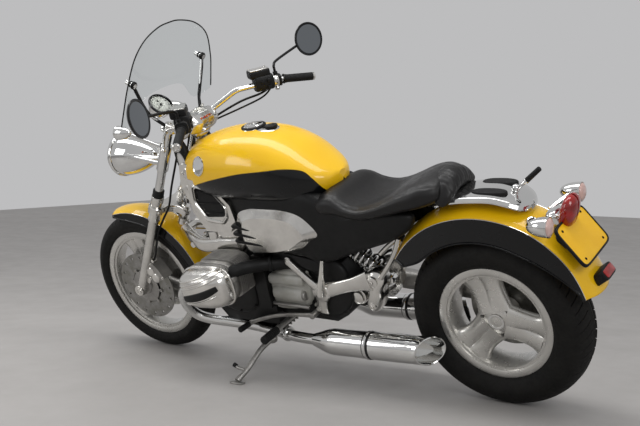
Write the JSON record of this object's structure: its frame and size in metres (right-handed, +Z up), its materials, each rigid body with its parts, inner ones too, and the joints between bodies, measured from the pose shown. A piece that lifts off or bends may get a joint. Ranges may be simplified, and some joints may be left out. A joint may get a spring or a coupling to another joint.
{
  "type": "cruiser motorcycle",
  "caption": "Cruiser motorcycle with a flat twin engine, shaft drive, cast wheels, windscreen, deep mudguards, low seat and a rear rack, leaning on its side stand.",
  "frame": {"origin": "centre of the underside of the box around the whole machine, on the floor it stands on", "axes": "+X forward, +Y to the machine's left, +Z up; the machine leans 20 degrees toward +Y onto its stand"},
  "size_m": [2.3879, 1.1569, 1.3854],
  "materials": {
    "tyre": "matte",
    "wheel": "polished",
    "steel": "satin",
    "black_paint": "gloss",
    "casting": "satin",
    "black_plastic": "matte",
    "chrome": "polished",
    "black_steel": "satin",
    "rubber": "matte",
    "tank_paint": "gloss",
    "leather": "satin",
    "plate": "satin",
    "red_lens": "gloss",
    "clear": "clear"
  },
  "bodies": {
    "chassis": {"rear_axle": "steel", "rear_fender": "tank_paint", "rear_fender_skirts": "black_paint", "engine_block": "casting", "gearbox": "casting", "cylinders": "casting", "valve_covers": "casting", "intake": "black_plastic", "intake_covers": "casting", "exhausts": "chrome", "swingarm": "casting", "front_arm": "casting", "front_frame": "casting", "shock_absorbers": "chrome", "rear_frame": "black_steel", "footrest_plates": "casting", "footrests": "rubber", "fuel_tank": "tank_paint", "filler_cap": "chrome", "seat": "leather", "side_covers": "black_plastic", "rack_panel": "casting", "number_plate": "plate", "tail_light": "red_lens", "rear_turn_signals": "chrome", "foot_controls": "steel"},
    "fork": {"front_fender": "tank_paint", "front_fender_skirts": "black_paint", "fork_legs": "casting", "handlebar": "chrome", "fork_bridges": "casting", "grips": "rubber", "controls": "black_plastic", "levers": "steel", "mirrors": "chrome", "headlight": "chrome", "headlight_lens": "clear", "front_brackets": "chrome", "speedometer": "chrome", "windshield": "clear", "front_calipers": "casting", "front_axle": "steel"},
    "front_wheel": {"front_tyre": "tyre", "front_rim": "wheel", "front_discs": "steel"},
    "rear_wheel": {"rear_tyre": "tyre", "rear_rim": "wheel", "rear_disc": "steel"},
    "side_stand": {"side_stand": "black_steel"}
  },
  "joints": [
    {"name": "steering", "type": "hinge", "parent": "chassis", "child": "fork", "pos_m": [0.962, -0.3751, 0.00603], "axis": [-0.4924, 0.2977, 0.8179], "range_deg": [-34, 34]},
    {"name": "front_wheel_spin", "type": "hinge", "parent": "fork", "child": "front_wheel", "pos_m": [0.876, -0.26732, 0.30214], "axis": [0, 0.9397, -0.342], "continuous": true},
    {"name": "rear_wheel_spin", "type": "hinge", "parent": "chassis", "child": "rear_wheel", "pos_m": [-0.774, -0.2636, 0.31237], "axis": [0, 0.9397, -0.342], "continuous": true},
    {"name": "side_stand_fold", "type": "hinge", "parent": "chassis", "child": "side_stand", "pos_m": [0.131, -0.14754, 0.14881], "axis": [-0.225, 0.6624, 0.7146], "range_deg": [0, 93]}
  ]
}
